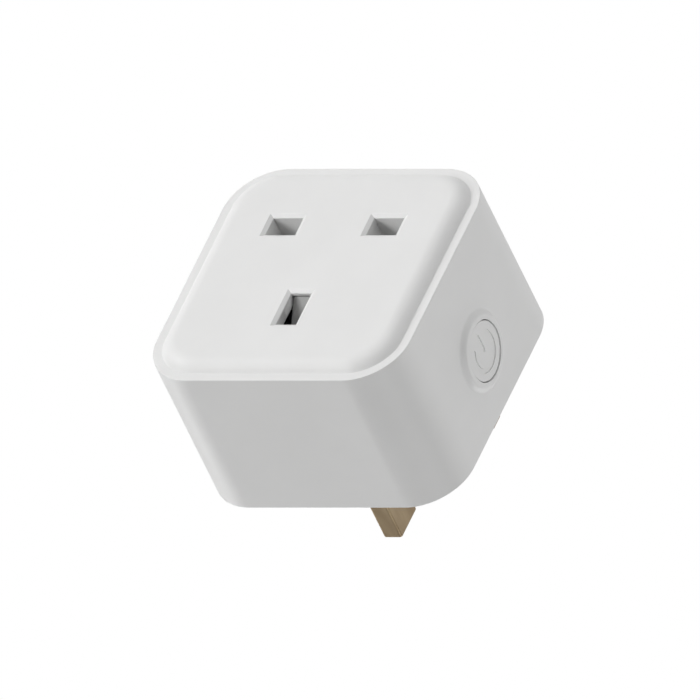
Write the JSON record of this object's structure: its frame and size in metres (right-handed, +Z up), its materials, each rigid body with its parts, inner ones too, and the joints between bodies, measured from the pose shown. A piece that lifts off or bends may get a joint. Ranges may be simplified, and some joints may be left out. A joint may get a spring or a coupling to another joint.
{
  "type": "smart plug",
  "caption": "White cube-shaped switched socket adapter with flat-bladed mains pins behind, a shuttered socket in front and a round power button on one side.",
  "frame": {"origin": "centre of the rear face, which lies against the wall socket", "axes": "-Y is the way the socket faces, +Y the way the pins point, +Z up in use with the earth pin on top, button on the -X side"},
  "size_m": [0.057, 0.0591, 0.0572],
  "materials": {
    "case": "satin white moulded plastic",
    "shutter": "satin off-white moulded plastic",
    "carrier": "grey glass-filled plastic",
    "brass": "machined brass, lightly tarnished",
    "bronze": "stamped spring bronze",
    "steel": "plated steel",
    "black_plastic": "black moulded plastic",
    "board": "green solder mask",
    "led": "clear cast lens",
    "relay_case": "blue moulded plastic",
    "copper": "enamelled copper wire",
    "capacitor": "dark shrink sleeve on aluminium",
    "ferrite": "sintered ferrite with copper winding",
    "varistor": "blue epoxy coat",
    "resistor": "grey-green cement coat"
  },
  "bodies": {
    "case": {"front_housing": "case", "rear_cover": "case", "shutter_spring": "steel", "contact_carrier": "carrier", "earth_pin": "brass", "live_pin": "brass", "neutral_pin": "brass", "live_pin_sleeve": "black_plastic", "neutral_pin_sleeve": "black_plastic", "earth_contact": "bronze", "live_contact": "bronze", "neutral_contact": "bronze", "cover_screw_1": "steel", "cover_screw_2": "steel", "cover_screw_3": "steel", "cover_screw_4": "steel", "main_circuit_board": "board", "control_board": "board", "wifi_module_board": "board", "wifi_shield_can": "steel", "tact_switch_body": "black_plastic", "status_led": "led", "relay_base": "black_plastic", "relay_cover": "relay_case", "relay_coil": "copper", "relay_yoke": "steel", "capacitor_1": "capacitor", "capacitor_2": "capacitor", "inductor": "ferrite", "varistor": "varistor", "bridge_rectifier": "black_plastic", "fuse_resistor": "resistor"},
    "button": {"button_cap": "case"},
    "plunger": {"tact_plunger": "steel"},
    "shutter": {"shutter": "shutter"},
    "armature": {"relay_armature": "steel"}
  },
  "joints": [
    {"name": "button_press", "type": "slide", "parent": "case", "child": "button", "axis": [1, 0, 0], "range_m": [0, 0.0005], "stiffness_N_per_m": 1000, "springref_m": -0.0005},
    {"name": "tact_plunger_press", "type": "slide", "parent": "case", "child": "plunger", "axis": [1, 0, 0], "range_m": [0, 0.0005]},
    {"name": "shutter_slide", "type": "slide", "parent": "case", "child": "shutter", "axis": [0, 0, -1], "range_m": [0, 0.0085], "stiffness_N_per_m": 100, "springref_m": -0.004, "deforming": ["shutter_spring"]},
    {"name": "relay_armature_hinge", "type": "hinge", "parent": "case", "child": "armature", "pos_m": [0.0126, -0.0236, 0.0012], "axis": [-1, 0, 0], "range_deg": [0, 3], "stiffness_Nm_per_rad": 0.02, "springref_deg": -2.86}
  ],
  "couplings": [
    {"joint": "tact_plunger_press", "follows": "button_press", "ratio": 1}
  ]
}
